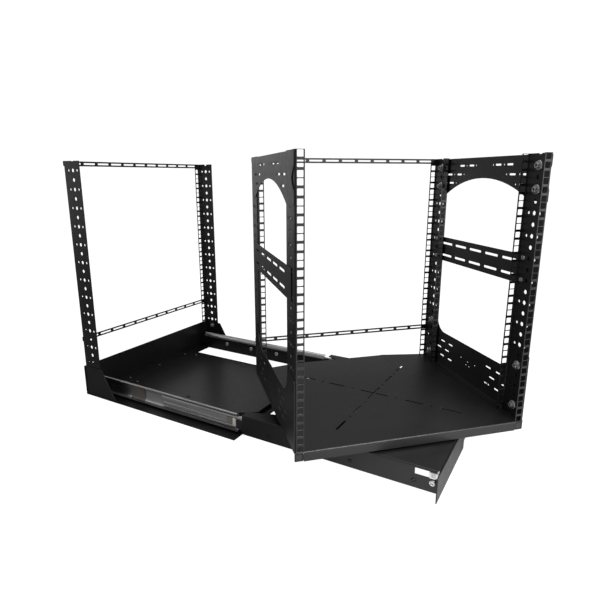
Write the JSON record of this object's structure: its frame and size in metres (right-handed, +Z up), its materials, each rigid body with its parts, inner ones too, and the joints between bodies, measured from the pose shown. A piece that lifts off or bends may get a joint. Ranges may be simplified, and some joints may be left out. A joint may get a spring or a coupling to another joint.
{
  "type": "pull-out rotating equipment rack",
  "caption": "Open steel equipment rack that slides out of a cabinet on telescopic slides and turns on a turntable so its back can be reached.",
  "frame": {"origin": "centre of the base footprint, on the underside that stands on the cabinet floor", "axes": "+Z up, front towards -Y, +X to the right of someone facing the rack's rear wall from the front"},
  "size_m": [0.6383, 1.0463, 0.6105],
  "materials": {
    "black_powder_coat": "fine satin black powder coat",
    "zinc_plated_steel": "bright zinc plate",
    "black_plastic": "matt moulded",
    "red_plastic": "satin red moulding"
  },
  "bodies": {
    "base": {"base_floor_plate": "black_powder_coat", "base_front_tie": "black_powder_coat", "base_rear_wall": "black_powder_coat", "fixed_cross_bar_top": "black_powder_coat", "fixed_cross_bar_lower": "black_powder_coat", "base_rail_left": "black_powder_coat", "base_rail_right": "black_powder_coat", "corner_bracket_left": "black_powder_coat", "corner_bracket_right": "black_powder_coat", "fixed_post_left": "black_powder_coat", "fixed_post_right": "black_powder_coat", "fixed_post_bolt_left": "zinc_plated_steel", "fixed_post_bolt_right": "zinc_plated_steel", "slide_channel_left": "zinc_plated_steel", "slide_channel_right": "zinc_plated_steel"},
    "slide_outer_cages": {"slide_outer_cage_left": "zinc_plated_steel", "slide_outer_cage_right": "zinc_plated_steel"},
    "slide_middles": {"slide_middle_left": "zinc_plated_steel", "slide_middle_right": "zinc_plated_steel"},
    "slide_inner_cages": {"slide_inner_cage_left": "zinc_plated_steel", "slide_inner_cage_right": "zinc_plated_steel"},
    "carriage": {"carriage_tray": "black_powder_coat", "carriage_front_panel": "black_powder_coat", "pivot_bolt": "zinc_plated_steel", "pivot_nut": "zinc_plated_steel", "lever_bracket": "zinc_plated_steel", "lever_pin": "zinc_plated_steel", "lock_pin_bush": "zinc_plated_steel", "turntable_lower_race": "zinc_plated_steel", "slide_inner_left": "zinc_plated_steel", "slide_inner_right": "zinc_plated_steel", "panel_screw_left": "zinc_plated_steel", "panel_screw_right": "zinc_plated_steel"},
    "release_lever": {"release_lever": "red_plastic"},
    "lock_pin": {"lock_pin": "zinc_plated_steel"},
    "slide_latch_left": {"slide_latch_left": "zinc_plated_steel"},
    "slide_latch_right": {"slide_latch_right": "zinc_plated_steel"},
    "turntable_ball_cage": {"turntable_ball_cage": "zinc_plated_steel"},
    "frame": {"turntable_upper_race": "zinc_plated_steel", "index_plate": "zinc_plated_steel", "deck": "black_powder_coat", "frame_cross_bar_top": "black_powder_coat", "frame_cross_bar_lower": "black_powder_coat", "deck_lip_cap_left": "black_plastic", "deck_lip_cap_right": "black_plastic", "post_front_left": "black_powder_coat", "post_front_right": "black_powder_coat", "post_rear_left": "black_powder_coat", "post_rear_right": "black_powder_coat", "side_panel_top_left": "black_powder_coat", "side_panel_top_right": "black_powder_coat", "side_rail_middle_left": "black_powder_coat", "side_rail_middle_right": "black_powder_coat", "side_panel_bottom_left": "black_powder_coat", "side_panel_bottom_right": "black_powder_coat"}
  },
  "joints": [
    {"name": "carriage_slide", "type": "slide", "parent": "base", "child": "carriage", "axis": [0, 1, 0], "range_m": [0, 0.395]},
    {"name": "slide_middle_run", "type": "slide", "parent": "base", "child": "slide_middles", "axis": [0, 1, 0], "range_m": [0, 0.2]},
    {"name": "slide_outer_cage_run", "type": "slide", "parent": "base", "child": "slide_outer_cages", "axis": [0, 1, 0], "range_m": [0, 0.1]},
    {"name": "slide_inner_cage_run", "type": "slide", "parent": "base", "child": "slide_inner_cages", "axis": [0, 1, 0], "range_m": [0, 0.298]},
    {"name": "frame_swivel", "type": "hinge", "parent": "carriage", "child": "frame", "pos_m": [0, -0.4651, 0.064], "axis": [0, 0, 1], "range_deg": [-14.7, 105.3]},
    {"name": "turntable_cage_roll", "type": "hinge", "parent": "carriage", "child": "turntable_ball_cage", "pos_m": [0, -0.4651, 0.064], "axis": [0, 0, 1], "range_deg": [-7.4, 52.7]},
    {"name": "lock_pin_lift", "type": "slide", "parent": "carriage", "child": "lock_pin", "axis": [0, 0, 1], "range_m": [0, 0.0031]},
    {"name": "release_lever_tilt", "type": "hinge", "parent": "carriage", "child": "release_lever", "pos_m": [0, -0.655, 0.028], "axis": [1, 0, 0], "range_deg": [0, 4.6]},
    {"name": "slide_latch_left_pull", "type": "slide", "parent": "carriage", "child": "slide_latch_left", "axis": [0, 1, 0], "range_m": [0, 0.02], "stiffness_N_per_m": 150},
    {"name": "slide_latch_right_pull", "type": "slide", "parent": "carriage", "child": "slide_latch_right", "axis": [0, 1, 0], "range_m": [0, 0.02], "stiffness_N_per_m": 150}
  ],
  "couplings": [
    {"joint": "slide_middle_run", "follows": "carriage_slide", "ratio": 0.5},
    {"joint": "slide_outer_cage_run", "follows": "carriage_slide", "ratio": 0.25},
    {"joint": "slide_inner_cage_run", "follows": "carriage_slide", "ratio": 0.75},
    {"joint": "turntable_cage_roll", "follows": "frame_swivel", "ratio": 0.5},
    {"joint": "release_lever_tilt", "follows": "lock_pin_lift", "rad_per_m": 25}
  ]
}
